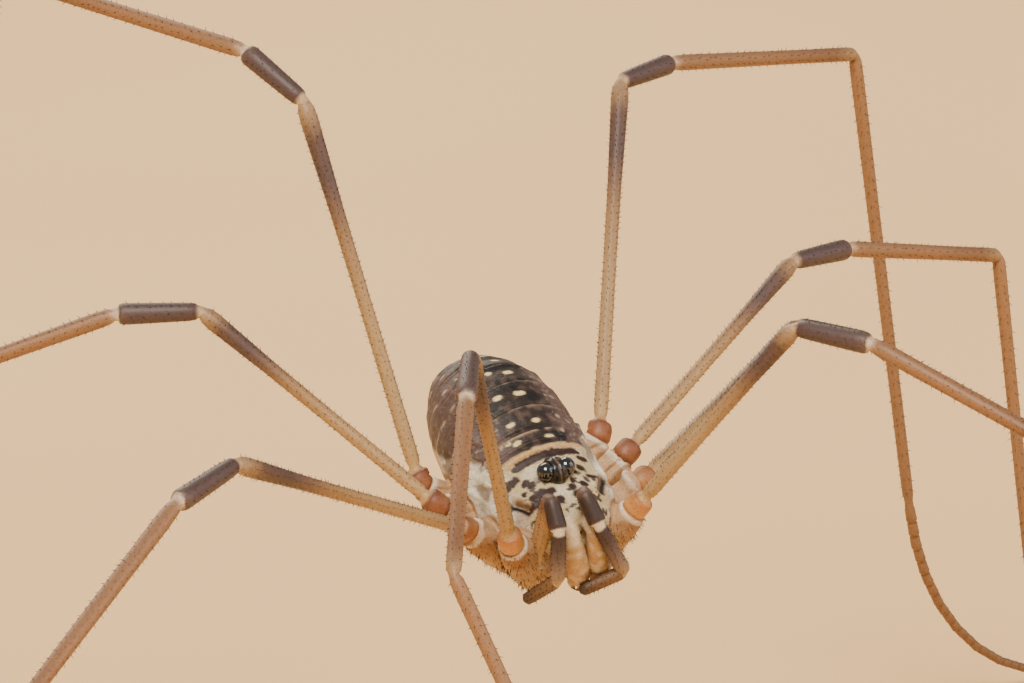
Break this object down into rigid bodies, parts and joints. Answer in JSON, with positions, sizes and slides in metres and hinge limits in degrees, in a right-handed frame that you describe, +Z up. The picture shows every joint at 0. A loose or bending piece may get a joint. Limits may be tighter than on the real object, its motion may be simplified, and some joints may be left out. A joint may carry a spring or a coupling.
{
  "type": "harvestman",
  "caption": "Still, life-size long-legged harvestman standing on its bent legs, domed abdomen, feelers folded before the face.",
  "frame": {"origin": "on the floor, under the middle of the whole animal's box", "axes": "the face looks along -Y, the animal's left side is +X, +Z up"},
  "size_m": [0.0856, 0.0456, 0.0224],
  "materials": {
    "prosoma": "cream cuticle with dark purple-brown blotches and fine black bristles",
    "opisthosoma": "dark grey-brown leathery cuticle with paired cream spots on each segment",
    "ocularium": "smooth dark turret with a pale tan middle line",
    "eye_lens": "polished black lens",
    "chelicera": "pale tan semi-gloss cuticle with dark finger tips",
    "pedipalp": "dark purple-brown cuticle with pale joints and bristles",
    "trochanter": "orange to red-brown cuticle with fine black spots",
    "femur": "straw-yellow cuticle with rows of tiny black bristles and a dark band near the knee",
    "patella": "dark purple-brown cuticle with white joint skin at its end",
    "tibia": "brownish tan cuticle with fine bristles",
    "metatarsus": "brownish tan cuticle, ringed",
    "tarsus": "pale brown many-ringed cuticle with fine hairs"
  },
  "bodies": {
    "root": {"prosoma": "prosoma", "opisthosoma": "opisthosoma", "ocularium": "ocularium", "eye_right": "eye_lens", "chelicera_right": "chelicera", "pedipalp_upper_right": "pedipalp", "pedipalp_lower_right": "pedipalp", "eye_left": "eye_lens", "chelicera_left": "chelicera", "pedipalp_upper_left": "pedipalp", "pedipalp_lower_left": "pedipalp", "trochanter_right_1": "trochanter", "femur_right_1": "femur", "patella_right_1": "patella", "tibia_right_1": "tibia", "metatarsus_right_1": "metatarsus", "tarsus_right_1": "tarsus", "trochanter_right_2": "trochanter", "femur_right_2": "femur", "patella_right_2": "patella", "tibia_right_2": "tibia", "metatarsus_right_2": "metatarsus", "tarsus_right_2": "tarsus", "trochanter_right_3": "trochanter", "femur_right_3": "femur", "patella_right_3": "patella", "tibia_right_3": "tibia", "metatarsus_right_3": "metatarsus", "tarsus_right_3": "tarsus", "trochanter_right_4": "trochanter", "femur_right_4": "femur", "patella_right_4": "patella", "tibia_right_4": "tibia", "metatarsus_right_4": "metatarsus", "tarsus_right_4": "tarsus", "trochanter_left_1": "trochanter", "femur_left_1": "femur", "patella_left_1": "patella", "tibia_left_1": "tibia", "metatarsus_left_1": "metatarsus", "tarsus_left_1": "tarsus", "trochanter_left_2": "trochanter", "femur_left_2": "femur", "patella_left_2": "patella", "tibia_left_2": "tibia", "metatarsus_left_2": "metatarsus", "tarsus_left_2": "tarsus", "trochanter_left_3": "trochanter", "femur_left_3": "femur", "patella_left_3": "patella", "tibia_left_3": "tibia", "metatarsus_left_3": "metatarsus", "tarsus_left_3": "tarsus", "trochanter_left_4": "trochanter", "femur_left_4": "femur", "patella_left_4": "patella", "tibia_left_4": "tibia", "metatarsus_left_4": "metatarsus", "tarsus_left_4": "tarsus"}
  },
  "joints": []
}
